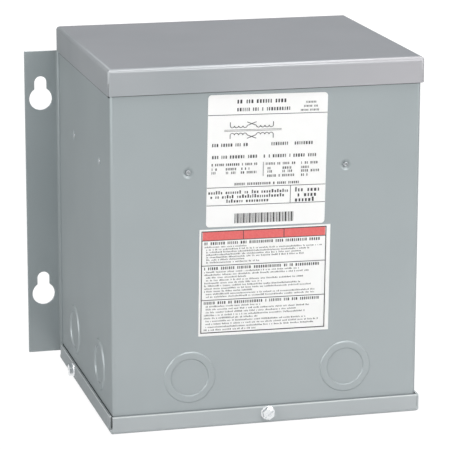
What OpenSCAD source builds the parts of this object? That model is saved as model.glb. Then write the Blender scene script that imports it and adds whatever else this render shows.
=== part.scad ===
// Wall-mounted dry-type transformer in a sheet-steel case.
// A hat-section wrapper makes the front, the sides and the two mounting flanges. A flanged
// top cover and a shallow bottom pan close it, and a flat panel closes the back.
// Millimetres, +Z up, front towards -Y. The origin is the bottom centre of the whole object.

/* [Case] */
// Width of the case between its side faces
body_w = 179; // [150:0.5:260]
// Depth from the front face to the front of the mounting flanges
body_d = 151.3; // [120:0.1:220]
// Height from the floor of the pan to the top of the cover
overall_h = 208.8; // [190:0.1:300]
// Thickness of the wrapper's sheet
case_t = 1.5; // [1.2:0.1:2]
// Outside radius of the two front bends
front_bend_r = 2.2; // [2:0.1:4]

/* [Mounting flanges] */
// Reach of a flange beyond the side of the case
flange_w = 21; // [19:0.5:30]
// Inside radius of the bend between a side and its flange
flange_bend_r = 1.9; // [1:0.1:3]
// Height of the wrapper's lower edge
flange_z0 = 5.8; // [3:0.1:9]
// Width between the two columns of keyholes
keyhole_span_x = 201.7; // [201:0.1:204]
// Height of the lower keyholes
keyhole_z = 42.9; // [30:0.1:60]
// Distance between the lower and the upper keyholes
keyhole_span_z = 121.8; // [90:0.1:130]
// Diameter of a keyhole's entry
keyhole_d = 13.9; // [10:0.1:15]
// Width of a keyhole's slot
keyhole_slot_w = 7.5; // [5:0.1:8]
// Rise from the entry's centre to the centre of the slot's end
keyhole_rise = 10; // [9:0.1:12]

/* [Top cover] */
// Thickness of the cover's sheet, and of the pan's
cover_t = 1.2; // [0.8:0.1:1.5]
// Gap between the cover's lips and the case
cover_gap = 0.3; // [0.2:0.1:0.8]
// Height of the cover's lips
cover_lip = 15; // [10:0.1:25]
// Outside radius of the cover's bends
cover_bend_r = 2.8; // [1.6:0.1:4]
// Outside radius of the cover's upright corners
cover_corner_r = 2.3; // [1.6:0.1:3]
// Width of the seam in each of those corners
cover_seam = 0.5; // [0.2:0.1:0.8]
// Height of the seam from the lip's lower edge
cover_seam_h = 7; // [3:0.5:9]
// Turn of the seam round its corner, in degrees from the side lip
cover_seam_angle = 34; // [0:1:90]

/* [Bottom pan] */
// Gap between the pan's lips and the case
pan_gap = 0.5; // [0.2:0.1:0.8]
// Height of the pan's lips
pan_lip = 10.4; // [10:0.1:16]
// Outside radius of the pan's bends
pan_bend_r = 2; // [1.4:0.1:3]
// Width of the open slit at the pan's front corners
pan_slit = 2; // [0.4:0.1:3]

/* [Knockouts] */
// Diameter of the larger knockout, 3/4 inch trade size
knockout_outer_d = 28.2; // [28:0.1:28.6]
// Diameter of the smaller knockout inside it, 1/2 inch trade size
knockout_inner_d = 22.2; // [22:0.1:22.6]
// How far a knockout's ring is pressed out of the sheet
knockout_raise = 0.55; // [0.3:0.05:1]
// Width of a tie that holds a knockout in place
knockout_tie_w = 4.4; // [2:0.1:6]
// Slope of the line through the ties, in degrees below the horizontal
knockout_tie_angle = 36.5; // [0:0.5:90]
// Distance between the two knockouts on the front
knockout_span_x = 91.6; // [60:0.1:110]
// Shift of the front knockouts to the right of the middle
knockout_shift_x = 0.8; // [-3:0.1:3]
// Height of the front knockouts
knockout_front_z = 30.2; // [28:0.1:40]
// Distance of the first side knockout from the front face
knockout_side_y = 36.2; // [25:0.1:45]
// Distance between the two knockouts on a side
knockout_span_y = 73.9; // [50:0.1:80]
// Height of the side knockouts
knockout_side_z = 30.6; // [28:0.1:40]

/* [Riveted dimples] */
// Diameter of a dimple at the face of the sheet
dimple_d = 8; // [5:0.1:9]
// Diameter of a dimple's flat floor
dimple_floor_d = 5; // [3.6:0.1:5]
// Depth of a dimple
dimple_depth = 0.9; // [0.4:0.1:1.2]
// Diameter of the rivet in a dimple
rivet_d = 3; // [2.4:0.1:3.6]
// Diameter of the hole in a rivet
rivet_bore_d = 1.3; // [0.8:0.1:1.6]
// How far a rivet stands out of the sheet
rivet_proud = 0.1; // [0:0.05:0.4]
// Height of the front dimples
dimple_z = 148.7; // [100:0.1:180]
// Distance between the two dimples on the front
dimple_span_x = 91.3; // [60:0.1:110]
// Distance of the first side dimple from the front face
dimple_side_y = 31.9; // [20:0.1:45]
// Distance between the two dimples on a side
dimple_span_y = 73.9; // [50:0.1:80]
// Height of the side dimples
dimple_side_z = 150.9; // [100:0.1:180]

/* [Screws] */
// Diameter of a screw's washer flange
screw_flange_d = 8.2; // [7:0.1:9]
// Thickness of the washer flange
screw_flange_h = 0.9; // [0.6:0.1:1.2]
// Width of the hexagon across its flats
screw_hex_w = 6.35; // [5.5:0.05:7]
// Height of the hexagon above the flange
screw_hex_h = 2.3; // [1.5:0.1:3]
// Height of the screws above the floor
screw_z = 6.3; // [5.8:0.1:8]
// Distance of the front screw to the right of the middle
screw_front_x = 0.4; // [-5:0.1:5]
// Distance of the side screws from the front face
screw_side_y = 107.5; // [60:0.5:120]

/* [Labels] */
// Width of the rating label
rating_w = 68.9; // [50:0.1:90]
// Height of the rating label
rating_h = 75; // [50:0.1:75]
// Corner radius of the rating label
rating_corner_r = 2; // [1:0.1:4]
// Centre of the rating label, across and up
rating_at = [-0.4, 153.8];
// Tilt of the rating label, in degrees
rating_tilt = 1.05; // [0:0.05:1.5]
// Width of the notice label
notice_w = 76.2; // [50:0.1:90]
// Height of the notice label
notice_h = 61.8; // [40:0.1:62]
// Centre of the notice label, across and up
notice_at = [-1.5, 84.3];
// Tilt of the notice label, in degrees
notice_tilt = 0.7; // [0:0.05:1]
// Thickness of the labels
label_t = 0.15; // [0.1:0.05:0.3]

/* [Hidden] */
$fn = 64;
steel_paint = "#aab1b4";
bare_zinc = "#c9cccf";
potting = "#4c4a46";
paper_white = "#f4f5f5";

half_w = body_w / 2;
keyhole_x = keyhole_span_x / 2;
knockout_left_x = knockout_shift_x - knockout_span_x / 2;
knockout_right_x = knockout_shift_x + knockout_span_x / 2;
knockout_rear_y = knockout_side_y + knockout_span_y;
dimple_x = dimple_span_x / 2;
pan_out = pan_gap + cover_t;
cover_out = cover_gap + cover_t;
screw_h = screw_flange_h + screw_hex_h;
overall_d = screw_h + pan_out + body_d + case_t;
back_y = overall_d / 2;
flange_y = back_y - case_t;
front_y = flange_y - body_d;
lip_z = overall_h - cover_lip;
// clear space between sheets that nearly touch
sheet_gap = 0.2;
wrap_top = overall_h - cover_t - sheet_gap;
// the back panel ends short of the cover's back lip, which hangs over the panel's top edge
back_panel_drop = 0.5;
back_panel_top = lip_z - back_panel_drop;
cover_over_panel = 0.7;
cover_back_y = flange_y + cover_over_panel;
pan_back_y = flange_y - sheet_gap;
// height of the potting's lower face, and the room between its upper face and the cover's lip
core_z0 = 62;
core_room = 4;
core_z1 = lip_z - core_room;
knockout_gap = 0.15;
// how far a tie reaches into the two pieces that it joins
tie_bite = 0.45;
// how far a cut runs past the face that it opens
cut = 1;

// ---- Places: each turns a piece drawn about the Y axis, facing -Y, onto a wall ----

module on_front(x, z) {
    translate([x, front_y, z]) children();
}

// side is -1 for the left wall and 1 for the right one; depth is measured from the front face
module on_side(side, depth, z) {
    translate([side * half_w, front_y + depth, z]) rotate([0, 0, side * 90]) children();
}

// ---- Shared shapes ----

// A disc or bore about the Y axis, from y0 to y1
module round_y(d, y0, y1) {
    translate([0, y1, 0]) rotate([90, 0, 0]) cylinder(d = d, h = y1 - y0);
}

// A rectangle with round corners, centred
module round_rect(w, h, r) {
    square([w - 2 * r, h], center = true);
    square([w, h - 2 * r], center = true);
    for (x = [-1, 1], y = [-1, 1])
        translate([x * (w / 2 - r), y * (h / 2 - r)]) circle(r);
}

// The case's plan from the front face to a back line, with round front corners
module case_plan(half, front, back, r) {
    translate([-half, front + r]) square([2 * half, back - front - r]);
    translate([-half + r, front]) square([2 * (half - r), back - front]);
    for (x = [-1, 1]) translate([x * (half - r), front + r]) circle(r);
}

// One side's flange in plan, with the bend that joins it to the wall
module flange_plan() {
    bend_x = half_w + flange_bend_r;
    bend_y = flange_y - flange_bend_r;
    intersection() {
        translate([bend_x, bend_y]) difference() {
            circle(flange_bend_r + case_t);
            circle(flange_bend_r);
        }
        translate([half_w - case_t, bend_y]) square([bend_x - half_w + case_t, flange_bend_r + case_t]);
    }
    translate([bend_x, flange_y]) square([flange_w - flange_bend_r, case_t]);
}

// A keyhole through a flange: a round entry with a narrower slot above it
module keyhole() {
    round_y(keyhole_d, -cut, case_t + cut);
    translate([0, 0, keyhole_rise]) round_y(keyhole_slot_w, -cut, case_t + cut);
    translate([-keyhole_slot_w / 2, -cut, 0]) cube([keyhole_slot_w, case_t + 2 * cut, keyhole_rise]);
}

// The hollow of a dimple: a cone down to a flat floor
module dimple() {
    spread = (dimple_d - dimple_floor_d) / dimple_depth;
    translate([0, dimple_depth, 0]) rotate([90, 0, 0])
        cylinder(d1 = dimple_floor_d, d2 = dimple_d + cut * spread, h = dimple_depth + cut);
}

// A block with its edges rounded along X and along Y at one end of its height only
module bent_block(half, y0, y1, z0, z1, r, round_top) {
    intersection() {
        translate([0, y1, 0]) rotate([90, 0, 0]) linear_extrude(y1 - y0)
            bent_section(-half, half, z0, z1, r, round_top);
        translate([-half, 0, 0]) rotate([90, 0, 90]) linear_extrude(2 * half)
            bent_section(y0, y1, z0, z1, r, round_top);
    }
}

module bent_section(a, b, z0, z1, r, round_top) {
    edge = round_top ? z1 - r : z0 + r;
    translate([a, round_top ? z0 : edge]) square([b - a, z1 - z0 - r]);
    translate([a + r, z0]) square([b - a - 2 * r, z1 - z0]);
    for (x = [a + r, b - r]) translate([x, edge]) circle(r);
}

// ---- Case ----

module wrapper() {
    color(steel_paint) difference() {
        union() {
            translate([0, 0, flange_z0]) linear_extrude(wrap_top - flange_z0) difference() {
                case_plan(half_w, front_y, flange_y - flange_bend_r, front_bend_r);
                case_plan(half_w - case_t, front_y + case_t, flange_y + cut, front_bend_r - case_t);
            }
            translate([0, 0, flange_z0]) linear_extrude(lip_z - flange_z0)
                for (side = [0, 1]) mirror([side, 0]) flange_plan();
        }
        for (x = [-keyhole_x, keyhole_x], row = [0, 1])
            translate([x, flange_y, keyhole_z + row * keyhole_span_z]) keyhole();
        for (x = [knockout_left_x, knockout_right_x]) on_front(x, knockout_front_z) knockout_hole();
        for (x = [-dimple_x, dimple_x]) on_front(x, dimple_z) dimple();
        for (side = [-1, 1], row = [0, 1]) {
            on_side(side, knockout_side_y + row * knockout_span_y, knockout_side_z) knockout_hole();
            on_side(side, dimple_side_y + row * dimple_span_y, dimple_side_z) dimple();
        }
    }
}

module back_panel() {
    color(steel_paint)
        translate([-half_w + case_t, flange_y, flange_z0])
        cube([body_w - 2 * case_t, case_t, back_panel_top - flange_z0]);
}

// A block with bent upper edges and round upright corners
module cover_block(half, y0, y1, z0, z1, bend_r, corner_r) {
    intersection() {
        bent_block(half, y0, y1, z0, z1, bend_r, true);
        translate([0, (y0 + y1) / 2, z0]) linear_extrude(z1 - z0)
            round_rect(2 * half, y1 - y0, corner_r);
    }
}

module top_cover() {
    half = half_w + cover_out;
    y0 = front_y - cover_out;
    color(steel_paint) difference() {
        cover_block(half, y0, cover_back_y, lip_z, overall_h, cover_bend_r, cover_corner_r);
        cover_block(half - cover_t, y0 + cover_t, cover_back_y - cover_t,
            lip_z - cut, overall_h - cover_t, cover_bend_r - cover_t, cover_corner_r - cover_t);
        // a narrow seam where the front and back lips meet the side lips
        for (side = [0, 1]) mirror([side, 0]) {
            translate([half - cover_corner_r, y0 + cover_corner_r, lip_z]) rotate([0, 0, -cover_seam_angle])
                corner_seam();
            translate([half - cover_corner_r, cover_back_y - cover_corner_r, lip_z])
                rotate([0, 0, cover_seam_angle]) corner_seam();
        }
    }
}

// A thin cut outwards through a corner of the cover from the corner's axis
module corner_seam() {
    translate([0, -cover_seam / 2, -cut]) cube([cover_corner_r + cut, cover_seam, cover_seam_h + cut]);
}

module bottom_pan() {
    half = half_w + pan_out;
    y0 = front_y - pan_out;
    inner_r = pan_bend_r - cover_t;
    // the side and front lips part above the bend
    slit_z = pan_bend_r + cover_t;
    // the front lip's ends, and room round the case's walls for the back lip
    front_lip_end = half_w + pan_gap;
    wall_room = case_t + pan_gap + sheet_gap;
    color(steel_paint) difference() {
        bent_block(half, y0, pan_back_y, 0, pan_lip, pan_bend_r, false);
        bent_block(half - cover_t, y0 + cover_t, pan_back_y - cover_t,
            cover_t, pan_lip + cut, inner_r, false);
        for (side = [0, 1]) mirror([side, 0]) {
            translate([front_lip_end, y0 - cut, slit_z])
                cube([pan_out, cut + cover_t + pan_slit, pan_lip]);
            translate([half_w - wall_room, pan_back_y - cover_t - sheet_gap, slit_z])
                cube([2 * wall_room, cover_t + sheet_gap + cut, pan_lip]);
        }
    }
}

module potted_core() {
    color(potting) translate([0, 0, core_z0]) linear_extrude(core_z1 - core_z0)
        case_plan(half_w - case_t, front_y + case_t, flange_y - flange_bend_r, front_bend_r - case_t);
}

// ---- Knockouts ----

module knockout_hole() {
    round_y(knockout_outer_d, -cut, case_t + cut);
}

// Two ties across a round joint of that radius
module knockout_ties(radius) {
    rotate([0, knockout_tie_angle, 0]) for (side = [-1, 1])
        translate([side * radius, (case_t - knockout_raise) / 2, 0])
        cube([2 * tie_bite, case_t - knockout_raise, knockout_tie_w], center = true);
}

module knockout_ring() {
    color(steel_paint) {
        difference() {
            round_y(knockout_outer_d - 2 * knockout_gap, -knockout_raise, case_t - knockout_raise);
            round_y(knockout_inner_d, -knockout_raise - cut, case_t);
        }
        knockout_ties(knockout_outer_d / 2);
    }
}

module knockout_disc() {
    color(steel_paint) {
        round_y(knockout_inner_d - 2 * knockout_gap, 0, case_t);
        knockout_ties(knockout_inner_d / 2);
    }
}

// ---- Small pieces ----

// A tubular rivet that stands on the floor of its dimple
module rivet() {
    color(steel_paint) difference() {
        round_y(rivet_d, -rivet_proud, dimple_depth);
        round_y(rivet_bore_d, -rivet_proud - cut, dimple_depth - rivet_proud);
    }
}

module side_rivets(side) {
    for (row = [0, 1])
        on_side(side, dimple_side_y + row * dimple_span_y, dimple_side_z) rivet();
}

// A hex washer-head screw seated on the pan's lip
module screw_head() {
    color(bare_zinc) translate([0, -pan_out, 0]) rotate([90, 0, 0]) {
        cylinder(d = screw_flange_d, h = screw_flange_h);
        cylinder(d = screw_hex_w / cos(30), h = screw_h, $fn = 6);
    }
}

// A flat sheet label on the front, turned clockwise by its tilt
module label_sheet(at, tilt) {
    color(paper_white) on_front(at[0], at[1]) rotate([0, tilt, 0]) rotate([90, 0, 0])
        linear_extrude(label_t) children();
}

module rating_label() {
    label_sheet(rating_at, rating_tilt) round_rect(rating_w, rating_h, rating_corner_r);
}

module notice_label() {
    label_sheet(notice_at, notice_tilt) square([notice_w, notice_h], center = true);
}

// ---- Nodes ----

wrapper();
back_panel();
top_cover();
bottom_pan();
potted_core();
on_front(knockout_left_x, knockout_front_z) knockout_ring();  // knockout_ring_front_left
on_front(knockout_left_x, knockout_front_z) knockout_disc();  // knockout_disc_front_left
on_front(knockout_right_x, knockout_front_z) knockout_ring();  // knockout_ring_front_right
on_front(knockout_right_x, knockout_front_z) knockout_disc();  // knockout_disc_front_right
on_side(-1, knockout_side_y, knockout_side_z) knockout_ring();  // knockout_ring_left_front
on_side(-1, knockout_side_y, knockout_side_z) knockout_disc();  // knockout_disc_left_front
on_side(-1, knockout_rear_y, knockout_side_z) knockout_ring();  // knockout_ring_left_rear
on_side(-1, knockout_rear_y, knockout_side_z) knockout_disc();  // knockout_disc_left_rear
on_side(1, knockout_side_y, knockout_side_z) knockout_ring();  // knockout_ring_right_front
on_side(1, knockout_side_y, knockout_side_z) knockout_disc();  // knockout_disc_right_front
on_side(1, knockout_rear_y, knockout_side_z) knockout_ring();  // knockout_ring_right_rear
on_side(1, knockout_rear_y, knockout_side_z) knockout_disc();  // knockout_disc_right_rear
for (x = [-dimple_x, dimple_x]) on_front(x, dimple_z) rivet();  // rivets_front
side_rivets(-1);  // rivets_left
side_rivets(1);  // rivets_right
on_front(screw_front_x, screw_z) screw_head();  // screw_front
on_side(-1, screw_side_y, screw_z) screw_head();  // screw_left
on_side(1, screw_side_y, screw_z) screw_head();  // screw_right
rating_label();
notice_label();
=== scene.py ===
import math
import bmesh
import bpy
import numpy as np
from mathutils import Matrix, Vector


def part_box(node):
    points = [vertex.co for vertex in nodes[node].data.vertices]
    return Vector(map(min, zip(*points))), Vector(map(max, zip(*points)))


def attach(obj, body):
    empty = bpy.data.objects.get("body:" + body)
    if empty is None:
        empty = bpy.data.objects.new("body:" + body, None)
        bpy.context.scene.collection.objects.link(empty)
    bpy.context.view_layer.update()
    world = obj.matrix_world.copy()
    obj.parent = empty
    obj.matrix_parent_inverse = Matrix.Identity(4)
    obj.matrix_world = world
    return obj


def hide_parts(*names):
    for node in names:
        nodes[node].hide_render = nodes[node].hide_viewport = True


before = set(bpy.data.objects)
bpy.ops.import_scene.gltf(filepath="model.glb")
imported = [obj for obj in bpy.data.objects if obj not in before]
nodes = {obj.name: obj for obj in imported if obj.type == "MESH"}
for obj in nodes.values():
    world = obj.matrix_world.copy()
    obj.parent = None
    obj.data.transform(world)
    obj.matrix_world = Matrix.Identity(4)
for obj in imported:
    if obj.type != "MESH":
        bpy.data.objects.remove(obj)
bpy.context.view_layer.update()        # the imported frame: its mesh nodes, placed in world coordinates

mm = 0.001
sides = ["front", "left", "right"]
walls = ["front_left", "front_right", "left_front", "left_rear", "right_front", "right_rear"]
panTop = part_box("bottom_pan")[1][2]
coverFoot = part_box("top_cover")[0][2]
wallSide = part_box("knockout_disc_right_front")[1][0]
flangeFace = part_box("back_panel")[0][1]
print("frame loaded,", len(nodes), "nodes")


# small helpers

def linearColour(hexText):
    # the sRGB curve undone on each channel of a hex colour
    channels = np.array([int(hexText[i:i + 2], 16) for i in (1, 3, 5)]) / 255
    linear = np.where(channels <= 0.04045, channels / 12.92, ((channels + 0.055) / 1.055) ** 2.4)
    return (*linear.tolist(), 1.0)


def addNode(tree, kind, settings, out=0):
    # adds a node and gives one of its outputs, or the node if out is None; a key that names or
    # numbers an input is that socket, a value that is an output is linked, a hex text is a colour
    node = tree.nodes.new("ShaderNode" + kind)
    for key, value in settings.items():
        if isinstance(value, str) and value.startswith("#"):
            value = linearColour(value)
        if not (isinstance(key, int) or key in node.inputs):
            setattr(node, key, value)
        elif isinstance(value, bpy.types.NodeSocket):
            tree.links.new(value, node.inputs[key])
        else:
            node.inputs[key].default_value = value
    return node if out is None else node.outputs[out]


def startMaterial(name):
    # an empty node material, and the Object coordinates that its patterns read
    material = bpy.data.materials.new(name)
    material.use_nodes = True
    tree = material.node_tree
    tree.nodes.clear()
    return material, tree, addNode(tree, "TexCoord", {}, "Object")


def endMaterial(tree, settings):
    # one Principled shader with its settings and links
    shader = addNode(tree, "BsdfPrincipled", settings)
    addNode(tree, "OutputMaterial", {"Surface": shader}, None)


def cells(size):
    # the scale at which a pattern's cells are about that many millimetres wide
    return 1 / (size * mm)


colours = {"data_type": "RGBA"}                  # a Mix node for colours; its sockets are 6 and 7
spread = {"From Min": 0.3, "From Max": 0.7}      # the part of a noise's range that a pattern uses


# baked enamel, and the painted light and shade on it

enamel = {
    "patch": 55,              # mm, width of the soft light and dark patches
    "paintedFootLightRise": 0.2,            # m, height over which the colour grows lighter towards the foot: painted light
    "paintedFootLight": 0.7,           # share of that painted light in the colour of the walls
    "peel": 1.6,              # mm, width of an orange-peel cell
    "peelHeight": 0.0015,     # mm
    "cloud": 24,              # mm, width of the duller and glossier areas
    "wave": 70,               # mm, width of the slight waves in the sheet
    "waveHeight": 0.05,       # mm
    "roughness": (0.21, 0.25),
    "flake": 0.22,            # share of the sheen that leafing pigment in the grey gives
    "edgeTint": 0.1,          # what is left of that sheen at grazing angles
    "wallTones": ("#a4acae", "#b0b7b9"),     # darker and lighter: random patches between them, and on the walls painted light towards the foot
    "coverTones": ("#a5aaad", "#acb0b3"),    # the cover comes from another batch, less green
    "panTones": ("#b5bbbd", "#babfc1"),
}
coverMarks = {
    "paintedEndHighlight": "#b9b7bb",     # painted highlight towards the cover's right end
    "paintedEndHighlightShare": 0.75,
    "paintedEndHighlightFrom": (-45, 85),     # mm to the right of the middle where it starts, and is full
    "paintedHighlight": "#e6e4e6",      # painted highlight along the front bend
    "paintedHighlightShare": 0.15,
    "paintedHighlightBand": (0.12, 0.35, 0.8, 0.93),   # upward part of the normal: starts, full, full, ends
    "paintedHighlightAhead": (-0.2, -0.4),             # Y part of the normal, less than 0 ahead: starts, full
    "paintedTopShade": "#96969b",        # painted shade that darkens the level top
    "paintedTopShadeShare": 0.5,
    "paintedTopShadeFrom": (0.96, 0.995),   # upward part of the normal where the painted shade starts, and is full
}
wallMarks = {
    "paintedGapShade": "#26292b",      # painted shade in the gaps under the lips of the pan and of the cover
    "paintedGapShadeFade": 0.3,        # mm
    "underCover": (0.35, 0.6),   # mm below the cover's lip where it starts to end, and ends
    "sideExtra": 1.05,        # mm further down on the side walls
    "sideFrom": (0.15, 0.02),    # mm inside the side wall's face where that starts, and is full
    "paintedFoldShade": "#767c7e",        # painted shade that darkens the fold between the wall and the flange and dims its highlight
    "paintedFoldShadeShare": 0.36,
    "paintedFoldShadeReach": (1.9, 1.2),  # mm from the fold's sharp line where the painted shade starts, and is full
}
panMarks = {
    "paintedHighlight": "#dfe4e4",      # painted highlight on the round of the upper edge
    "paintedHighlightBand": (0.8, 0.7, 0.25, 0.1),     # mm under the edge: starts, full, full, ends
}


def markCover(tree, place, colour):
    # painted highlight at the right end, kept off the level top; painted highlight on the bend, by
    # how far its normal points up and ahead; and painted shade on the top, where the normal points up
    across = addNode(tree, "SeparateXYZ", {0: place}, "X")
    normal = addNode(tree, "NewGeometry", {}, "Normal")
    _, ahead, upward = addNode(tree, "SeparateXYZ", {0: normal}, None).outputs
    starts, full = coverMarks["paintedTopShadeFrom"]
    lies = addNode(tree, "MapRange", {"Value": upward, "From Min": starts, "From Max": full})
    starts, full = (step * mm for step in coverMarks["paintedEndHighlightFrom"])
    end = addNode(tree, "MapRange", {"Value": across, "From Min": starts, "From Max": full,
                                     "To Max": coverMarks["paintedEndHighlightShare"]})
    end = addNode(tree, "Math", {"operation": "SUBTRACT", "use_clamp": True, 0: end, 1: lies})
    colour = addNode(tree, "Mix", {**colours, 0: end, 6: colour, 7: coverMarks["paintedEndHighlight"]}, 2)
    rise, full, last, stop = coverMarks["paintedHighlightBand"]
    above = addNode(tree, "MapRange", {"Value": upward, "From Min": rise, "From Max": full})
    below = addNode(tree, "MapRange", {"Value": upward, "From Min": stop, "From Max": last})
    bend = addNode(tree, "Math", {"operation": "MULTIPLY", 0: above, 1: below})
    starts, full = coverMarks["paintedHighlightAhead"]
    facing = addNode(tree, "MapRange", {"Value": ahead, "From Min": starts, "From Max": full,
                                        "To Max": coverMarks["paintedHighlightShare"]})
    bend = addNode(tree, "Math", {"operation": "MULTIPLY", 0: bend, 1: facing})
    colour = addNode(tree, "Mix", {**colours, 0: bend, 6: colour, 7: coverMarks["paintedHighlight"]}, 2)
    share = addNode(tree, "Math", {"operation": "MULTIPLY", 0: lies, 1: coverMarks["paintedTopShadeShare"]})
    return addNode(tree, "Mix", {**colours, 0: share, 6: colour, 7: coverMarks["paintedTopShade"]}, 2)


def markWall(tree, place, colour):
    # painted shade by the distance to the line where wall and flange meet; and dark painted shade
    # below the pan's top and just under the cover's foot, deeper on the side walls, none on the
    # flanges
    across, back, height = addNode(tree, "SeparateXYZ", {0: place}, None).outputs
    beside = addNode(tree, "Math", {"operation": "ABSOLUTE", 0: across})
    fold = addNode(tree, "CombineXYZ", {"X": beside, "Y": back})
    away = addNode(tree, "VectorMath", {"operation": "DISTANCE", 0: fold,
                                        1: (wallSide, flangeFace, 0)}, "Value")
    starts, lies = (step * mm for step in wallMarks["paintedFoldShadeReach"])
    foldShade = addNode(tree, "MapRange", {"Value": away, "From Min": starts, "From Max": lies,
                                       "To Max": wallMarks["paintedFoldShadeShare"]})
    colour = addNode(tree, "Mix", {**colours, 0: foldShade, 6: colour, 7: wallMarks["paintedFoldShade"]}, 2)
    fade = wallMarks["paintedGapShadeFade"] * mm
    abovePan = addNode(tree, "MapRange", {"Value": height, "From Min": panTop - fade,
                                          "From Max": panTop})
    starts, full = (wallSide - step * mm for step in wallMarks["sideFrom"])
    onSide = addNode(tree, "MapRange", {"Value": beside, "From Min": starts, "From Max": full})
    raised = addNode(tree, "Math", {"operation": "MULTIPLY_ADD", 0: onSide,
                                    1: wallMarks["sideExtra"] * mm, 2: height})
    starts, ends = (coverFoot - step * mm for step in wallMarks["underCover"])
    belowCover = addNode(tree, "MapRange", {"Value": raised, "From Min": starts, "From Max": ends})
    between = addNode(tree, "Math", {"operation": "MINIMUM", 0: abovePan, 1: belowCover})
    onFlange = addNode(tree, "MapRange", {"Value": beside, "From Min": wallSide,
                                          "From Max": wallSide + fade})
    # 1 where the wall keeps its enamel colour, 0 where the painted gap shade lies
    painted = addNode(tree, "Math", {"operation": "MAXIMUM", 0: between, 1: onFlange})
    return addNode(tree, "Mix", {**colours, 0: painted, 6: wallMarks["paintedGapShade"], 7: colour}, 2)


def markPan(tree, place, colour):
    # a painted highlight along the upper edge: a ramp up from below times a ramp down at the top
    height = addNode(tree, "SeparateXYZ", {0: place}, "Z")
    rise, full, last, end = (panTop - step * mm for step in panMarks["paintedHighlightBand"])
    above = addNode(tree, "MapRange", {"Value": height, "From Min": rise, "From Max": full})
    below = addNode(tree, "MapRange", {"Value": height, "From Min": end, "From Max": last})
    paintedHighlight = addNode(tree, "Math", {"operation": "MULTIPLY", 0: above, 1: below})
    return addNode(tree, "Mix", {**colours, 0: paintedHighlight, 6: colour, 7: panMarks["paintedHighlight"]}, 2)


def bakedEnamel(name, tones, paintedFootLight=0.0, marks=None):
    # baked enamel on sheet steel, sprayed and stoved: a smooth semi-gloss film with faint
    # orange peel, which shows wide soft reflections and lets the sheet's slight waves through
    material, tree, place = startMaterial(name)
    patch, cloud, wave, peel = (
        addNode(tree, "TexNoise", {"Vector": place, "Scale": cells(enamel[key]),
                                   "Detail": detail}, "Fac")
        for key, detail in (("patch", 2), ("cloud", 2), ("wave", 0), ("peel", 1)))
    patches = addNode(tree, "MapRange", {"Value": patch, **spread})
    height = addNode(tree, "SeparateXYZ", {0: place}, "Z")
    # painted light: the colour grows lighter from that height down to the foot
    depth = addNode(tree, "MapRange", {"Value": height, "From Min": enamel["paintedFootLightRise"], "From Max": 0})
    film = addNode(tree, "Mix", {"Factor": paintedFootLight, 2: patches, 3: depth})
    colour = addNode(tree, "Mix", {**colours, 0: film, 6: tones[0], 7: tones[1]}, 2)
    if marks:
        colour = marks(tree, place, colour)
    least, most = enamel["roughness"]
    roughness = addNode(tree, "MapRange", {"Value": cloud, **spread, "To Min": least, "To Max": most})
    waves = addNode(tree, "Bump", {"Height": wave, "Distance": enamel["waveHeight"] * mm})
    surface = addNode(tree, "Bump", {"Height": peel, "Distance": enamel["peelHeight"] * mm,
                                     "Normal": waves})
    endMaterial(tree, {"Base Color": colour, "Metallic": enamel["flake"], "Roughness": roughness,
                       "Specular IOR Level": 0.0,
                       "Specular Tint": (*[enamel["edgeTint"]] * 3, 1), "Normal": surface})
    return material


caseEnamel = bakedEnamel("bakedEnamel", enamel["wallTones"], enamel["paintedFootLight"])
wallEnamel = bakedEnamel("bakedEnamelWall", enamel["wallTones"], enamel["paintedFootLight"], markWall)
coverEnamel = bakedEnamel("bakedEnamelCover", enamel["coverTones"], marks=markCover)
panEnamel = bakedEnamel("bakedEnamelPan", enamel["panTones"], marks=markPan)
print("enamels made")


# zinc plate, label film, ink and resin

zinc = {
    "cloud": 1.1,             # mm, width of the cloudy spots
    "grain": 0.35,            # mm, width of a bump from the barrel
    "grainHeight": 0.004,     # mm
    "roughness": (0.2, 0.34),
    "screwTones": ("#d2d6d9", "#f0f1f2"),    # dull and bright
    "shadedFlatTones": ("#8c9093", "#abafb2"),   # darker zinc: painted shade on the hexagon flats at the head's root
    "rivetTones": ("#8e9295", "#b4b8ba"),
}
film = {
    "tones": ("#fafaf9", "#fdfdfc"),
    "cloud": 14,              # mm, width of the slightly warmer areas
    "sheen": 3,               # mm, width of the glossier spots
    "roughness": (0.38, 0.46),
}
ink = {
    "lift": 0.9,              # mm, width of the spots where the ribbon lifted early
    "blackTones": ("#4a4a4c", "#2c2c2e"),    # thin and full
    "blackRoughness": 0.5,
    "coralTones": ("#ea7876", "#e56a69"),
    "coralRoughness": 0.42,
}
resin = {
    "tones": ("#3a3835", "#5a5752"),
    "grit": 0.8,              # mm, width of a grain of the filler
    "gritHeight": 0.08,       # mm
    "roughness": 0.75,
}


def zincPlate(name, tones):
    # zinc plate on steel: a thin metal coat that mirrors softly and is a little cloudy where
    # the parts rubbed together in the plating barrel
    material, tree, place = startMaterial(name)
    cloud = addNode(tree, "TexNoise", {"Vector": place, "Scale": cells(zinc["cloud"])}, "Fac")
    grain = addNode(tree, "TexNoise", {"Vector": place, "Scale": cells(zinc["grain"]),
                                       "Detail": 1}, "Fac")
    colour = addNode(tree, "Mix", {**colours, 0: cloud, 6: tones[0], 7: tones[1]}, 2)
    least, most = zinc["roughness"]
    roughness = addNode(tree, "MapRange", {"Value": cloud, **spread, "To Min": least, "To Max": most})
    surface = addNode(tree, "Bump", {"Height": grain, "Distance": zinc["grainHeight"] * mm})
    endMaterial(tree, {"Base Color": colour, "Metallic": 1.0, "Roughness": roughness,
                       "Normal": surface})
    return material


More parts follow.
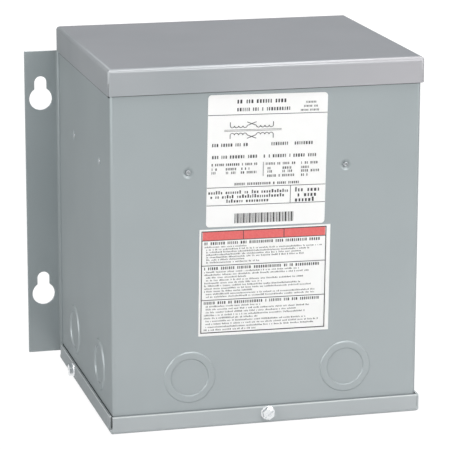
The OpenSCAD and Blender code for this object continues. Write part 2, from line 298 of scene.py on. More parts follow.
def labelFilm(name):
    # satin polyester label film: an even white with a faint sheen
    material, tree, place = startMaterial(name)
    cloud = addNode(tree, "TexNoise", {"Vector": place, "Scale": cells(film["cloud"])}, "Fac")
    sheen = addNode(tree, "TexNoise", {"Vector": place, "Scale": cells(film["sheen"])}, "Fac")
    share = addNode(tree, "MapRange", {"Value": cloud, **spread})
    first, second = film["tones"]
    colour = addNode(tree, "Mix", {**colours, 0: share, 6: first, 7: second}, 2)
    least, most = film["roughness"]
    roughness = addNode(tree, "MapRange", {"Value": sheen, **spread, "To Min": least, "To Max": most})
    endMaterial(tree, {"Base Color": colour, "Roughness": roughness, "Specular IOR Level": 0.4})
    return material


def printedInk(name, tones, roughness):
    # thermal-transfer ink on film: matt, and thinner where the ribbon lifted early
    material, tree, place = startMaterial(name)
    lift = addNode(tree, "TexNoise", {"Vector": place, "Scale": cells(ink["lift"])}, "Fac")
    lay = addNode(tree, "MapRange", {"Value": lift, **spread})
    colour = addNode(tree, "Mix", {**colours, 0: lay, 6: tones[0], 7: tones[1]}, 2)
    endMaterial(tree, {"Base Color": colour, "Roughness": roughness, "Specular IOR Level": 0.3})
    return material


def pottingCompound(name):
    # cast silica-filled resin: dark, matt and faintly sandy
    material, tree, place = startMaterial(name)
    grit = addNode(tree, "TexNoise", {"Vector": place, "Scale": cells(resin["grit"]),
                                      "Detail": 3}, "Fac")
    first, second = resin["tones"]
    colour = addNode(tree, "Mix", {**colours, 0: grit, 6: first, 7: second}, 2)
    surface = addNode(tree, "Bump", {"Height": grit, "Distance": resin["gritHeight"] * mm})
    endMaterial(tree, {"Base Color": colour, "Roughness": resin["roughness"], "Normal": surface})
    return material


screwZinc = zincPlate("zincPlate", zinc["screwTones"])
# a darker zinc that paints shade on the front screw's hexagon flats
shadedFlatZinc = zincPlate("paintedShadeZincPlate", zinc["shadedFlatTones"])
rivetZinc = zincPlate("rivetZincPlate", zinc["rivetTones"])
whiteFilm = labelFilm("satinLabelFilm")
blackInk = printedInk("blackPrintInk", ink["blackTones"], ink["blackRoughness"])
coralInk = printedInk("coralPrintInk", ink["coralTones"], ink["coralRoughness"])
coreResin = pottingCompound("pottingCompound")
print("other finishes made")


# surfaces on grids, and places on the walls

crease = 35              # degrees between two faces above which their shared edge is sharp
sameSpot = 0.002         # mm, closer than this two points are one
tooSmall = 0.001         # mm, a shorter edge or thinner face goes


def gridFaces(rows, columns, wrapRows, wrapColumns):
    # quads between neighbouring rows and columns, closed round where a direction wraps
    i = np.arange(rows if wrapRows else rows - 1)[:, None]
    j = np.arange(columns if wrapColumns else columns - 1)[None, :]
    ni, nj = (i + 1) % rows, (j + 1) % columns
    quads = [i * columns + j, i * columns + nj, ni * columns + nj, ni * columns + j]
    return np.stack(quads, axis=-1).reshape(-1, 4)


def addPiece(name, mesh, materials):
    # the mesh with its materials as an object at the origin that rides on the one body
    for material in materials:
        mesh.materials.append(material)
    piece = bpy.data.objects.new(name, mesh)
    bpy.context.scene.collection.objects.link(piece)
    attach(piece, "root")
    return piece


def surfacePiece(name, grids, materials):
    # one mesh from a list of (points, wrap rows, wrap columns[, material number]) grids, with
    # its doubles merged and its faces turned outwards
    points, faces, marks, start = [], [], [], 0
    for surface, wrapRows, wrapColumns, *mark in grids:
        rows, columns = surface.shape[:2]
        quads = gridFaces(rows, columns, wrapRows, wrapColumns)
        points.append(surface.reshape(-1, 3))
        faces.append(quads + start)
        marks.append(np.full(len(quads), mark[0] if mark else 0))
        start += rows * columns
    mesh = bpy.data.meshes.new(name)
    mesh.from_pydata(np.concatenate(points).tolist(), [], np.concatenate(faces).tolist())
    mesh.polygons.foreach_set("material_index", np.concatenate(marks))
    shape = bmesh.new()
    shape.from_mesh(mesh)
    bmesh.ops.remove_doubles(shape, verts=shape.verts, dist=sameSpot * mm)
    bmesh.ops.dissolve_degenerate(shape, edges=shape.edges, dist=tooSmall * mm)
    bmesh.ops.recalc_face_normals(shape, faces=shape.faces)
    shape.to_mesh(mesh)
    shape.free()
    mesh.polygons.foreach_set("use_smooth", np.ones(len(mesh.polygons), bool))
    mesh.set_sharp_from_angle(angle=math.radians(crease))
    return addPiece(name, mesh, materials)


def wallAxes(wall):
    # across to the viewer's right, up, and outward, for the wall that a name starts with
    return np.array({"front": ((1, 0, 0), (0, 0, 1), (0, -1, 0)),
                     "left": ((0, -1, 0), (0, 0, 1), (-1, 0, 0)),
                     "right": ((0, 1, 0), (0, 0, 1), (1, 0, 0))}[wall.split("_")[0]], float)


def onWall(wall, origin, across, up, out):
    # local millimetres carried to the wall: origin + across, up and outward steps
    steps = np.stack(np.broadcast_arrays(across, up, out), axis=-1) * mm
    return np.array(origin) + steps @ wallAxes(wall)


def circle(turns):
    # the angles of that many even steps round a circle, as a column
    return np.linspace(0, 2 * math.pi, turns, endpoint=False)[:, None]


def turned(wall, spot, radius, height, turns):
    # a profile of radii and heights turned about the outward axis through a spot: the radius
    # times the cosine goes across, and times the sine goes up
    angle = circle(turns)
    return onWall(wall, spot, radius * np.cos(angle), radius * np.sin(angle), height)


def wallSpot(wall, node):
    # the node's centre brought to its outer face, and its half height and depth in millimetres
    low, high = (np.array(corner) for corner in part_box(node))
    out = wallAxes(wall)[2]
    depth = float(np.abs(out) @ (high - low))
    spot = (low + high) / 2 + out * depth / 2
    return spot, float((high - low)[2] / 2) / mm, depth / mm


# knockouts: a pressed ring and disc each

knockout = {
    "outerSlope": 0.8,     # mm, width of the outer pressed step in plan
    "innerSlope": 0.6,     # mm, the same for the inner step
    "sideShare": 1.3,      # the steps on the side walls are that much wider
    "sideLift": 1.6,       # and that much higher
    "slopePoints": 15,     # points down a step
    "sunk": 0.03,          # mm, how far a step ends below the next face
    "outerMiddle": 0.75,   # mm, middle of the outer step outside the ring's rim
    "innerMiddle": -0.15,  # mm, middle of the inner step inside it
    "tieAngle": -36.5,     # degrees above the horizontal
    "outerTie": 14.30,     # mm, distance of the outer tie's straight edge from the centre
    "innerTie": 10.66,     # mm, the same for the inner tie
    "backGap": 0.15,       # mm, between the disc's rim and the ring's back
    "discRound": 0.2,      # mm, round of the disc's edge
    "roundPoints": 5,      # points round it
    "discRings": 5,        # rings of its flat face
    "turns": 240,          # points round the circle
}


def stepMiddle(radius, tie):
    # a circle with two opposite flats: the lesser of the radius and the distance to the tie's
    # straight edge in each direction
    across = np.abs(np.cos(circle(knockout["turns"]) - math.radians(knockout["tieAngle"])))
    return np.minimum(radius, tie / np.maximum(across, tie / radius / 2))


def pressedStep(middle, height, slope, sense):
    # a raised cosine from the crest down to just under the next face, carried along the
    # middle line; it falls outwards, or inwards if sense is -1
    share = np.linspace(0, 1, knockout["slopePoints"])
    radius = middle + sense * (share - 0.5) * slope
    fall = height * (1 + np.cos(math.pi * share)) / 2
    fall[-1] -= knockout["sunk"]
    return radius, np.broadcast_to(fall, radius.shape)


def knockoutRing(wall):
    # the ring's section carried round a circle: down the outer step, along the back, and up
    # the inner step
    node, disc = "knockout_ring_" + wall, "knockout_disc_" + wall
    spot, outer, depth = wallSpot(wall, node)
    face, inner, _ = wallSpot(wall, disc)
    raised = float(wallAxes(wall)[2] @ (spot - face)) / mm
    onFront = wall.startswith("front")
    wider = 1 if onFront else knockout["sideShare"]
    crest = raised * (1 if onFront else knockout["sideLift"])
    outMiddle = stepMiddle(outer + knockout["outerMiddle"], knockout["outerTie"])
    inMiddle = stepMiddle(inner + knockout["innerMiddle"], knockout["innerTie"])
    outRadius, outHeight = pressedStep(outMiddle, crest, wider * knockout["outerSlope"], 1)
    inRadius, inHeight = pressedStep(inMiddle, crest, wider * knockout["innerSlope"], -1)
    flat = np.ones_like(outMiddle)
    back = flat * (raised - depth)
    radius = np.concatenate([outRadius, flat * outer, flat * (inner + knockout["backGap"]),
                             inRadius[:, ::-1]], axis=1)
    height = np.concatenate([outHeight, back, back, inHeight[:, ::-1]], axis=1)
    surface = turned(wall, face, radius, height, knockout["turns"])
    piece = surfacePiece("pressed_ring_" + wall, [(surface, True, True)], [caseEnamel])
    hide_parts(node)


def knockoutDisc(wall):
    # a flat disc with a small round at its edge, by a quarter circle: a profile turned about
    # the disc's axis
    node = "knockout_disc_" + wall
    face, radius, depth = wallSpot(wall, node)
    bend, rings = knockout["discRound"], knockout["discRings"]
    turn = np.linspace(0, math.pi / 2, knockout["roundPoints"])
    steps = np.linspace(0, radius - bend, rings + 1)[:-1]
    out = np.concatenate([steps, radius - bend + bend * np.sin(turn), [radius, 0]])
    height = np.concatenate([np.zeros(rings), bend * (np.cos(turn) - 1), [-depth, -depth]])
    surface = turned(wall, face, out, height, knockout["turns"])
    piece = surfacePiece("pressed_disc_" + wall, [(surface, True, False)], [caseEnamel])
    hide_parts(node)


for wall in walls:
    knockoutRing(wall)
    knockoutDisc(wall)
print("knockouts made")


# riveted dimples: two tubular rivets in two pressed dishes on each wall

rivet = {
    "crown": 0.4,          # mm, round of the outer edge
    "boreRound": 0.22,     # mm, round of the bore's mouth
    "boreRadius": 0.65,    # mm
    "boreDepth": 0.7,      # mm
    "roundPoints": 6,      # points round an edge
    "turns": 48,           # points round the circle
}
dish = {
    "rim": 4.0,            # mm, radius of the hollow in the wall
    "brow": 3.5,           # mm, radius where the dish leaves the sheet
    "flat": 1.3,           # mm, radius of its flat floor
    "slope": 27,           # degrees, steepest fall of its side
    "bend": 0.5,           # mm, width of the bends at the brow and at the floor
    "sidePoints": 24,      # points down the side
    "behind": 0.89,        # mm, depth of the hidden back of the skin
    "pocket": 2.45,        # mm, radius of the back's flat floor
    "turns": 72,           # points round the circle
}


def rivetSpots(wall):
    # the two rivets of a wall from their common box: the middles of their outer faces, and
    # their radius and length in millimetres
    middle, radius, length = wallSpot(wall, "rivets_" + wall)
    low, high = (np.array(corner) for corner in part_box("rivets_" + wall))
    across = wallAxes(wall)[0]
    reach = float(np.abs(across) @ (high - low)) / 2 - radius * mm
    return [middle + side * reach * across for side in (-1, 1)], radius, length


def rivetPair(wall):
    # a tubular rivet's profile: from the bore's floor up over its rounded mouth and crown,
    # and down its side to the floor of the dimple
    spots, outer, length = rivetSpots(wall)
    turn = np.linspace(0, math.pi / 2, rivet["roundPoints"])
    bore, lip, crown = rivet["boreRadius"], rivet["boreRound"], rivet["crown"]
    radius = np.concatenate([[0, bore], bore + lip * (1 - np.cos(turn)),
                             outer - crown + crown * np.sin(turn), [outer, 0]])
    height = np.concatenate([[-rivet["boreDepth"]] * 2, lip * (np.sin(turn) - 1),
                             crown * (np.cos(turn) - 1), [-length, -length]])
    grids = [(turned(wall, spot, radius, height, rivet["turns"]), True, False) for spot in spots]
    piece = surfacePiece("tubular_rivets_" + wall, grids, [rivetZinc])
    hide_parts("rivets_" + wall)


def pressedDishes(wall):
    # a fall whose slope grows from none at the brow to the steepest and ends at a flat floor,
    # summed along the radius from the sheet's level; a thin back follows the hollow in the wall
    out = wallAxes(wall)[2]
    level = next(name for name in walls if name.startswith(wall))
    face, _, _ = wallSpot(wall, "knockout_disc_" + level)
    spots = [spot + out * (out @ (face - spot)) for spot in rivetSpots(wall)[0]]
    side = np.linspace(dish["brow"], dish["flat"], dish["sidePoints"])
    grown = np.clip(np.minimum(dish["brow"] - side, side - dish["flat"]) / dish["bend"], 0, 1)
    fall = np.tan(math.radians(dish["slope"]) * grown * grown * (3 - 2 * grown))
    drop = -np.concatenate([[0], np.cumsum((fall[1:] + fall[:-1]) / 2 * (side[0] - side[1]))])
    radius = np.concatenate([[dish["rim"]], side, [0, 0, dish["pocket"]]])
    height = np.concatenate([[0], drop, [drop[-1], -dish["behind"], -dish["behind"]]])
    grids = [(turned(wall, spot, radius, height, dish["turns"]), True, True) for spot in spots]
    piece = surfacePiece("pressed_dishes_" + wall, grids, [caseEnamel])


for wall in sides:
    rivetPair(wall)
    pressedDishes(wall)
print("riveted dimples made")


# the pan's right corner

lipEnd = {
    "thick": 1.2,          # mm, of the pan's sheet
    "gap": 0.12,           # mm, the slit that is left beside the front lip's end
    "deep": 3.4,           # mm, from the lip's front plane back into the side lip
    "foot": 3.0,           # mm, height where it leaves the pan's bend
    "round": 0.4,          # mm, round of its edges
    "roundPoints": 6,      # points round an edge
    "hair": 0.001,         # radians, keeps a corner's points off the line to the next corner
}


def sideLipEnd():
    # the right side lip's front end: a rounded rectangle in plan, corner centres plus a quarter
    # circle each, carried up the lip and drawn in over a quarter circle at its top
    low, high = (np.array(corner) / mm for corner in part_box("bottom_pan"))
    bend, hair, count = lipEnd["round"], lipEnd["hair"], lipEnd["roundPoints"]
    half = np.array([(lipEnd["thick"] - lipEnd["gap"]) / 2, lipEnd["deep"] / 2])
    middle = np.array([high[0] - half[0], low[1] + half[1]])
    quarter = np.linspace(hair, math.pi / 2 - hair, count)
    turn = np.concatenate([quarter + i * math.pi / 2 for i in range(4)])
    around = np.stack([np.cos(turn), np.sin(turn)], axis=-1)
    rise = np.linspace(0, math.pi / 2, count)
    size = np.concatenate([[bend], bend * np.cos(rise)])[:, None, None]
    plan = middle + np.sign(around) * (half - bend) + size * around
    level = np.concatenate([[lipEnd["foot"]], high[2] - bend + bend * np.sin(rise)])
    heights = np.broadcast_to(level[:, None, None], (*plan.shape[:2], 1))
    rings = np.concatenate([plan, heights], axis=-1)
    caps = [np.broadcast_to([*middle, z], (1, len(turn), 3)) for z in (level[0], level[-1])]
    surface = np.concatenate([caps[0], rings, caps[1]]) * mm
    piece = surfacePiece("pan_lip_end_right", [(surface, False, True)], [panEnamel])


sideLipEnd()
print("pan corner made")


# hexagon-head screws

screw = {
    "acrossFlats": 6.35,   # mm
    "flange": 0.9,         # mm, thickness of the washer flange at its root
    "flangeEdge": 0.5,     # mm, thickness at its rim
    "flangeShares": (0.35, 0.7, 0.93, 1.0),   # places of its rings from the root to the rim
    "rimDrop": 0.12,       # mm, the rim's own round
    "slotWidth": 1.3,      # mm
    "slotDepth": 0.8,      # mm
    "slotRun": 0.04,       # mm, width of the slot's wall in plan
    "slotTurn": 38,        # degrees above the horizontal
    "chamferFrom": 2.75,   # mm, radius where the top starts to fall away
    "chamferSlope": 0.5,
    "besideSlot": 0.12,    # mm from the slot's edge to the next line outside it
    "insideSlot": 0.15,    # mm to the next line inside it
    "outsideLines": 9,
    "insideLines": 4,
    "linePoints": 29,
}


def hexHeadScrew(wall):
    # the head as one sheet: lines run parallel to the slot, from flat to flat of the hexagon;
    # its top falls away past a radius, drops into the slot, and its border carries on down
    # the flats, out over the washer flange to a circle, and back under to the centre
    node = "screw_" + wall
    spot, radius, height = wallSpot(wall, node)
    half, slot, run = screw["acrossFlats"] / 2, screw["slotWidth"] / 2, screw["slotRun"]
    outside = np.linspace(slot + screw["besideSlot"], half, screw["outsideLines"])
    inside = slot - screw["insideSlot"]
    edge = np.array([slot - run, slot, slot + run])
    middle = np.linspace(-inside, inside, screw["insideLines"])
    lines = np.concatenate([-outside[::-1], -edge[::-1], middle, edge, outside])[:, None]
    along = np.linspace(-1, 1, screw["linePoints"])[None, :]
    x = along * (2 * half / math.sqrt(3) - np.abs(lines) * math.tan(math.radians(30)))
    y = lines + 0 * along
    top = height - screw["chamferSlope"] * np.clip(np.hypot(x, y) - screw["chamferFrom"], 0, None)
    inSlot = np.clip((slot + run / 2 - np.abs(y)) / run, 0, 1)
    z = top * (1 - inSlot) + (height - screw["slotDepth"]) * inSlot
    x0, y0, z0 = (np.concatenate([a[0, :-1], a[:-1, -1], a[-1, :0:-1], a[:0:-1, 0]])
                  for a in (x, y, z))
    flat, rim = np.zeros_like(x0), np.hypot(x0, y0)
    border = [(x0, y0, z0), (x0, y0, flat + screw["flange"])]
    for share in screw["flangeShares"]:
        out = (rim + (radius - rim) * share) / rim
        fall = screw["flange"] - (screw["flange"] - screw["flangeEdge"]) * share
        border.append((x0 * out, y0 * out, flat + fall - (screw["rimDrop"] if share == 1 else 0)))
    border += [(x0 / rim * radius, y0 / rim * radius, flat), (flat, flat, flat)]
    turn = math.radians(screw["slotTurn"])

    def place(px, py, pz):
        # turned by the slot's angle and carried to the wall
        return onWall(wall, spot, px * math.cos(turn) - py * math.sin(turn),
                      px * math.sin(turn) + py * math.cos(turn), pz - height)

    flats = np.stack([place(*loop) for loop in border[:2]])
    flange = np.stack([place(*loop) for loop in border[1:]])
    # the front screw's hexagon flats take the darker zinc: painted shade at the root of the head
    grids = [(place(x, y, z), False, False), (flats, False, True, 1), (flange, False, True)]
    piece = surfacePiece("hex_head_" + node, grids,
                         [screwZinc, shadedFlatZinc if wall == "front" else screwZinc])
    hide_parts(node)


for wall in sides:
    hexHeadScrew(wall)
print("screws made")


# the labels' print

printing = {
    "lift": 0.03,                # mm, how far the ink stands off the film
    "seed": 7,
    "blockWidth": (0.25, 0.56),  # widths of the blocks in a row, as shares of its height
    "blockSpace": 0.34,          # space between two blocks, the same
    "wordShare": 0.17,           # share of the blocks left out, which parts a row into words
    "lowShare": 0.67,            # share of the blocks that are low in a mixed row
    "lowTop": 0.2,               # their top above the row's middle, as a share of its height
}
chance = np.random.default_rng(printing["seed"])


def labelFrame(node, tilt):
    # the label's centre on its outer face and its own across and up directions; the tilt is
    # clockwise in degrees
    turn = math.radians(tilt)
    across = np.array([math.cos(turn), 0, -math.sin(turn)])
    up = np.array([math.sin(turn), 0, math.cos(turn)])
    low, high = (np.array(corner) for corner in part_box(node))
    centre = (low + high) / 2
    centre[1] = low[1]
    return centre, across, up


def bars(rows):
    # each row (left, bottom, right, top) as the four corners of a flat bar
    left, bottom, right, top = np.array(rows, float).T
    corners = [(left, bottom), (right, bottom), (right, top), (left, top)]
    return np.stack([np.stack(pair, axis=-1) for pair in corners], axis=1)


def printPiece(name, node, tilt, quads, inks):
    # flat bars lifted a hair off the label: centre plus across and up steps; each group of
    # bars has its own ink
    centre, across, up = labelFrame(node, tilt)
    flat = np.concatenate(quads)
    marks = np.repeat(np.arange(len(quads)), [len(group) for group in quads])
    points = centre + (flat[..., :1] * across + flat[..., 1:] * up) * mm
    points[..., 1] -= printing["lift"] * mm
    faces = np.arange(len(flat) * 4).reshape(-1, 4)
    mesh = bpy.data.meshes.new(name)
    mesh.from_pydata(points.reshape(-1, 3).tolist(), [], faces.tolist())
    mesh.polygons.foreach_set("material_index", marks)
    piece = addPiece(name, mesh, inks)
    thicken = piece.modifiers.new("inkFilm", "SOLIDIFY")
    thicken.thickness = printing["lift"] * mm / 2
    thicken.offset = -1


def printedRow(left, right, middle, tall, mixed=True):
    # a row that stands for print: plain blocks of uneven width from end to end, with some left
    # out; where it is mixed, two blocks in three are lower than the rest
    count = int((right - left) / (tall * printing["blockWidth"][0])) + 2
    width = chance.uniform(*printing["blockWidth"], count) * tall
    space = printing["blockSpace"] * tall
    start = left + np.cumsum(width + space) - width - space
    gone = chance.random(count) < printing["wordShare"]
    gone &= ~np.roll(gone, 1)
    gone[0] = False
    kept = ~gone & (start + width < right)
    isLow = mixed & (chance.random(count) < printing["lowShare"])
    top = middle + np.where(isLow, printing["lowTop"], 0.5) * tall
    bottom = np.full(count, middle - tall / 2)
    return np.stack([start, bottom, start + width, top], axis=-1)[kept]


def coilLine(left, right, middle, loops, bulge, wide):
    # a winding drawn as half circles in a row: for every loop, a strip between two radii
    turn = np.linspace(0, math.pi, 9)
    radius = (right - left) / loops / 2
    centre = left + radius * (2 * np.arange(loops)[:, None] + 1)
    inner, outer = (np.stack([centre - r * np.cos(turn),
                              middle + bulge * r * np.sin(turn) + 0 * centre], axis=-1)
                    for r in (radius - wide / 2, radius + wide / 2))
    corners = [inner[:, :-1], inner[:, 1:], outer[:, 1:], outer[:, :-1]]
    return np.stack(corners, axis=2).reshape(-1, 4, 2)


def crossedLeads(left, right, low, high, wide):
    # two straight strips that cross: each runs from one end's height to the other's, half the
    # width above and below its middle line
    half = wide / 2
    return np.array([[(left, start - half), (right, end - half),
                      (right, end + half), (left, start + half)]
                     for start, end in ((low, high), (high, low))])


ratingLabel = {               # millimetres from the label's centre
    "tilt": 1.05,             # degrees
    "half": 34.4,             # from the middle to a rule's end
    "rules": [26.1, -15.0, -25.2],
    "uprights": [(14.0, -25.2, -15.0), (-2.1, -9.2, -1.1)],   # place, foot and top
    "ruleWidth": 0.36,
    "rows": [                 # height, then the rows that have it: left, right, middle
        (2.1, False, [(-17.8, 13.2, 33.5)]),
        (1.9, False, [(-17.8, 13.2, 29.0)]),
        (1.1, False, [(21.9, 28.0, 32.3), (20.7, 29.4, 30.0), (18.9, 30.0, 27.8)]),
        (1.8, False, [(-31.8, -10.4, 9.1), (2.3, 12, 9.1), (15.8, 28.1, 9.1),
                      (-31.7, -5.7, 2.3), (-2, 13.5, 2.2), (15.2, 29, 2.1)]),
        (1.4, False, [(-31.9, -4.4, -2.0), (-0.7, 17.3, -2.2), (19.9, 30.2, -2.3),
                      (-31.8, -28.6, -4.6), (-23.7, -17.7, -4.6), (-14.8, -9.5, -4.6),
                      (-31.8, -28.6, -6.6), (-23.6, -17.4, -6.7), (-15, -3.8, -6.7),
                      (0.4, 3.7, -4.8), (9.1, 14.7, -4.8), (19.9, 24.7, -4.8),
                      (0.4, 3.7, -6.7), (9.1, 14.7, -6.7), (20, 30.5, -6.8),
                      (0.3, 7.8, -9.1), (9, 18, -9.1), (20, 24.8, -9.2),
                      (-18.5, 18.9, -13.3)]),
        (1.9, True, [(-33.5, 12.6, -17.8), (-32.2, 11.2, -20.3), (-23, 2, -22.8)]),
        (2.5, True, [(16.8, 31.2, -17.5), (18.3, 29.9, -20.4), (16.8, 31.2, -23.3)]),
    ],
    "coils": [(-21.6, -11.9), (-6.6, 3.2)],   # ends of the left and of the right windings
    "coilHeights": (19.9, 14.6),
    "coilLoops": 4,
    "coilFlatness": 0.9,
    "leadRise": 2.0,
    "stroke": 0.44,
    "core": (-25, 8),         # ends of the core's two lines
    "coreGap": 0.35,          # from the core's middle to a line's
    "coreWidth": 0.24,
    "fence": (-18.2, -35.7, -30.1),           # left end, foot and top
    "fencePeriod": 3.46,
    "fenceRepeats": 10,
    "fenceBars": [(0.1, 0.5), (0.95, 0.3), (1.6, 0.85), (2.75, 0.3)],   # start, width in a period
}


def windingSymbol():
    # two windings above and two below the core's lines, as coils with upright outer leads and
    # crossed inner ones; gives the straight lines and the other strips
    label = ratingLabel
    (first, innerLeft), (innerRight, last) = label["coils"]
    upper, lower = label["coilHeights"]
    stroke, reach, flatness = label["stroke"], label["leadRise"], label["coilFlatness"]
    strips = [coilLine(left, right, height, label["coilLoops"], bulge * flatness, stroke)
              for left, right in label["coils"] for height, bulge in ((upper, -1), (lower, 1))]
    lines = []
    for x in (first, last):
        lines.append((x - stroke / 2, upper, x + stroke / 2, upper + reach))
        lines.append((x - stroke / 2, lower - reach, x + stroke / 2, lower))
    for height, tip in ((upper, upper + reach), (lower, lower - reach)):
        strips.append(crossedLeads(innerLeft, innerRight, height, tip, stroke))
    (start, end), half = label["core"], label["coreWidth"] / 2
    for side in (-1, 1):
        middle = (upper + lower) / 2 + side * label["coreGap"]
        lines.append((start, middle - half, end, middle + half))
    return lines, strips


def ratingPrint():
    # rules, rows of blocks, a plain two-winding symbol and a fence of evenly repeated bars
    label = ratingLabel
    half, thin = label["half"], label["ruleWidth"] / 2
    lines = [(-half, height - thin, half, height + thin) for height in label["rules"]]
    lines += [(x - thin, foot, x + thin, top) for x, foot, top in label["uprights"]]
    rows = [printedRow(*row, tall, mixed) for tall, mixed, group in label["rows"] for row in group]
    symbol, strips = windingSymbol()
    begin, foot, top = label["fence"]
    start, width = np.array(label["fenceBars"]).T
    left = (begin + label["fencePeriod"] * np.arange(label["fenceRepeats"])[:, None] + start).ravel()
    right = left + np.tile(width, label["fenceRepeats"])
    fence = np.stack([left, np.full_like(left, foot), right, np.full_like(left, top)], axis=-1)
    quads = np.concatenate([bars(lines + symbol), bars(np.concatenate(rows)), bars(fence)] + strips)
    printPiece("rating_label_print", "rating_label", label["tilt"], [quads], [blackInk])


noticeLabel = {               # millimetres from the label's centre
    "tilt": 0.7,              # degrees
    "left": -37.0, "right": 35.8, "top": 30.0, "bottom": -29.3,   # of the border
    "border": 0.55,
    "bandLow": 24.5,          # foot of the coloured band
    "bandSplits": (-12.7, 10.9),
    "rules": [10.0, -10.0],
    "ruleWidth": 0.42,
    "titleRow": (-35.2, 32.6),    # its two ends
    "titleDrop": 1.7,         # from a section's top to its title row's middle
    "titleHeight": 1.6,
    "textDrop": 3.7,          # from a section's top to its first row of text
    "textFoot": 1.9,          # from its foot to its last row
    "textHeight": 0.9,
    "textRows": (7, 10, 9),
    "textStarts": [-35.0, -34.0],
    "shortEnds": (-14, 0),    # where a paragraph's last row may end
    "longEnds": (18, 34),
    "shortShare": 0.25,
}


def noticePrint():
    # a border with a plain coloured band in three cells and three sections of rows, each with
    # a bolder first row
    label = noticeLabel
    left, right, top, bottom = (label[key] for key in ("left", "right", "top", "bottom"))
    thick, thin, bandLow = label["border"], label["ruleWidth"] / 2, label["bandLow"]
    lines = [(left, bottom, left + thick, top), (right - thick, bottom, right, top),
             (left, top - thick, right, top), (left, bottom, right, bottom + thick)]
    lines += [(left, height - thin, right, height + thin) for height in (bandLow, *label["rules"])]
    lines += [(x - thin, bandLow, x + thin, top) for x in label["bandSplits"]]
    rows = []
    ends = (bandLow, *label["rules"], bottom)
    odds = [label["shortShare"], 1 - label["shortShare"]]
    for high, low, count in zip(ends[:-1], ends[1:], label["textRows"]):
        title = high - label["titleDrop"]
        rows.append(printedRow(*label["titleRow"], title, label["titleHeight"], False))
        for height in np.linspace(high - label["textDrop"], low + label["textFoot"], count):
            end = chance.choice([chance.uniform(*label["shortEnds"]),
                                 chance.uniform(*label["longEnds"])], p=odds)
            start = chance.choice(label["textStarts"])
            rows.append(printedRow(start, end, height, label["textHeight"]))
    edges = [left + thick, *label["bandSplits"], right - thick]
    band = [(start + thin, bandLow + thin, end - thin, top - thick)
            for start, end in zip(edges[:-1], edges[1:])]
    black = np.concatenate([bars(lines), bars(np.concatenate(rows))])
    printPiece("notice_label_print", "notice_label", label["tilt"], [black, bars(band)],
               [blackInk, coralInk])


ratingPrint()
noticePrint()
print("labels printed")


# the CAD nodes that keep their own shape

softEdge = {
    "case": 0.25,          # mm, round of the sheets' cut edges and bends
    "pan": 0.59,           # mm, the same for the pan's wider ones
    "segments": 5,
    "angle": 40,           # degrees between faces from which an edge is rounded
}


def dress(node, material, edge=0.0):
    # the node's own mesh with a new finish and, where asked, a small round on its edges
    piece = nodes[node]
    piece.data.materials.clear()
    piece.data.materials.append(material)
    if edge:
        weld = piece.modifiers.new("join", "WELD")
        weld.merge_threshold = tooSmall * mm
        soft = piece.modifiers.new("edge", "BEVEL")
        soft.width = edge * mm
        soft.segments = softEdge["segments"]
        soft.limit_method = "ANGLE"
        soft.angle_limit = math.radians(softEdge["angle"])
        soft.harden_normals = True


dress("wrapper", wallEnamel, softEdge["case"])
dress("back_panel", caseEnamel, softEdge["case"])
dress("top_cover", coverEnamel, softEdge["case"])
dress("bottom_pan", panEnamel, softEdge["pan"])
dress("rating_label", whiteFilm)
dress("notice_label", whiteFilm)
dress("potted_core", coreResin)
print("sheet metal dressed")


# the studio

studio = {
    "worldWhite": 1.0,      # what the camera and reflections see
    "worldFill": 0.0,       # what else lights the object
    "floorSize": 14.0,      # m
    "floorDrop": 0.1,       # mm under the object's foot
    "floorPaper": (0.82, 0.82, 0.82, 1),
    "floorShadow": 0.16,    # share of the lit floor in what the camera sees
    "floorGlow": 1.12,
    "floorClear": (0.35, 1.3),   # m from the object, where the shadow's share starts and ends fading
    "lamps": {              # azimuth, elevation, distance, width, height in m and watts
        "front softbox": (16, 31, 1.5, 0.9, 0.35, 6.6),
        "left softbox": (-80, 15, 1.5, 1.4, 1.0, 9.7),
        "left front softbox": (-60, 30, 1.5, 0.8, 0.8, 2.5),
        "right front softbox": (40, 15, 1.6, 1.0, 0.8, 5.2),
        "right upper softbox": (70, 50, 1.5, 0.8, 0.6, 2.0),
        "overhead softbox": (-5, 72, 1.5, 1.0, 0.4, 6.2),
        "overhead right softbox": (106, 76, 1.5, 0.8, 0.4, 3.4),
        "rear overhead softbox": (149, 62, 1.5, 0.8, 0.4, 6.4),
        "rear fill": (165, 30, 1.6, 1.0, 0.8, 5.0),
    },
    "aim": (0, 0, 0.1),     # m
}


def whiteForEye(tree):
    # 1 for camera, glossy and transmission rays, 0 for the rays that light things
    path = addNode(tree, "LightPath", {}, None).outputs
    both = addNode(tree, "Math", {"operation": "MAXIMUM", 0: path["Is Camera Ray"],
                                  1: path["Is Glossy Ray"]})
    return addNode(tree, "Math", {"operation": "MAXIMUM", 0: both, 1: path["Is Transmission Ray"]})


def makeWorld():
    # white to the eye and in reflections, and dark to everything else
    world = bpy.data.worlds.new("studioWorld")
    bpy.context.scene.world = world
    world.use_nodes = True
    tree = world.node_tree
    tree.nodes.clear()
    fill = addNode(tree, "Background", {"Color": "#ffffff", "Strength": studio["worldFill"]})
    seen = addNode(tree, "Background", {"Color": "#ffffff", "Strength": studio["worldWhite"]})
    mixed = addNode(tree, "MixShader", {0: whiteForEye(tree), 1: fill, 2: seen})
    addNode(tree, "OutputWorld", {"Surface": mixed}, None)


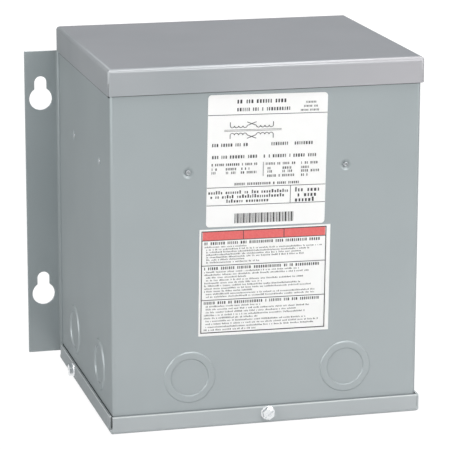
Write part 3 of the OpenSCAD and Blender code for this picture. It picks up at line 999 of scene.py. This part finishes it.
def makeFloor():
    # a plain pale floor just under the object's foot; what the eye sees of it is mostly its
    # own white, with a share of the lit surface that keeps the shadow; from below it is clear
    half, level = studio["floorSize"] / 2, -studio["floorDrop"] * mm
    mesh = bpy.data.meshes.new("studioFloor")
    mesh.from_pydata([(x * half, y * half, level) for x, y in ((-1, -1), (1, -1), (1, 1), (-1, 1))],
                     [], [(0, 1, 2, 3)])
    floor = bpy.data.objects.new("studioFloor", mesh)
    bpy.context.scene.collection.objects.link(floor)
    material, tree, place = startMaterial("floorPaper")
    paper = addNode(tree, "BsdfDiffuse", {"Color": studio["floorPaper"]})
    glow = addNode(tree, "Emission", {"Color": "#ffffff", "Strength": studio["floorGlow"]})
    distance = addNode(tree, "VectorMath", {"operation": "LENGTH", 0: place}, "Value")
    near, far = studio["floorClear"]
    white = addNode(tree, "MapRange", {"Value": distance, "From Min": near, "From Max": far,
                                       "To Min": 1 - studio["floorShadow"]})
    share = addNode(tree, "Math", {"operation": "MULTIPLY", 0: whiteForEye(tree), 1: white})
    above = addNode(tree, "MixShader", {0: share, 1: paper, 2: glow})
    under = addNode(tree, "NewGeometry", {}, "Backfacing")
    clear = addNode(tree, "BsdfTransparent", {})
    sided = addNode(tree, "MixShader", {0: under, 1: above, 2: clear})
    addNode(tree, "OutputMaterial", {"Surface": sided}, None)
    mesh.materials.append(material)


def onSphere(azimuth, elevation, distance, aim):
    # a place round the aim, from two angles and a distance: azimuth 0 stands in front and 90
    # to the right
    a, e = math.radians(azimuth), math.radians(elevation)
    ahead = Vector((math.sin(a) * math.cos(e), -math.cos(a) * math.cos(e), math.sin(e)))
    return Vector(aim) + distance * ahead


def makeLamps():
    # softboxes on spheres round the aim, each turned to face it
    for name, (azimuth, elevation, distance, width, height, watts) in studio["lamps"].items():
        light = bpy.data.lights.new(name, "AREA")
        light.shape = "RECTANGLE"
        light.size, light.size_y, light.energy = width, height, watts
        lamp = bpy.data.objects.new(name, light)
        place = onSphere(azimuth, elevation, distance, studio["aim"])
        lamp.location = place
        lamp.rotation_euler = (Vector(studio["aim"]) - place).to_track_quat("-Z", "Y").to_euler()
        bpy.context.scene.collection.objects.link(lamp)


view = {
    "azimuth": -14.34, "elevation": 13.78, "roll": 0.10,   # degrees
    "distance": 1495.7, "aim": (-5.15, 1.88, 98.54),       # mm
    "lens": 202.4, "sensor": 36,                           # mm
    "clip": (0.05, 50),                                    # m
}


def makeCamera():
    # a long lens on a sphere round the aim, looking at it and rolled about its own axis
    aim = Vector(view["aim"]) * mm
    place = onSphere(view["azimuth"], view["elevation"], view["distance"] * mm, aim)
    ahead = (aim - place).normalized()
    right = ahead.cross(Vector((0, 0, 1))).normalized()
    right = Matrix.Rotation(-math.radians(view["roll"]), 3, ahead) @ right
    up = right.cross(ahead)
    data = bpy.data.cameras.new("studioCamera")
    data.sensor_width, data.lens = view["sensor"], view["lens"]
    data.clip_start, data.clip_end = view["clip"]
    camera = bpy.data.objects.new("studioCamera", data)
    camera.matrix_world = Matrix((
        (right.x, up.x, -ahead.x, place.x), (right.y, up.y, -ahead.y, place.y),
        (right.z, up.z, -ahead.z, place.z), (0, 0, 0, 1)))
    bpy.context.scene.collection.objects.link(camera)
    bpy.context.scene.camera = camera


makeWorld()
makeFloor()
makeLamps()
makeCamera()
bpy.context.scene.view_settings.view_transform = "Standard"
print("studio set")
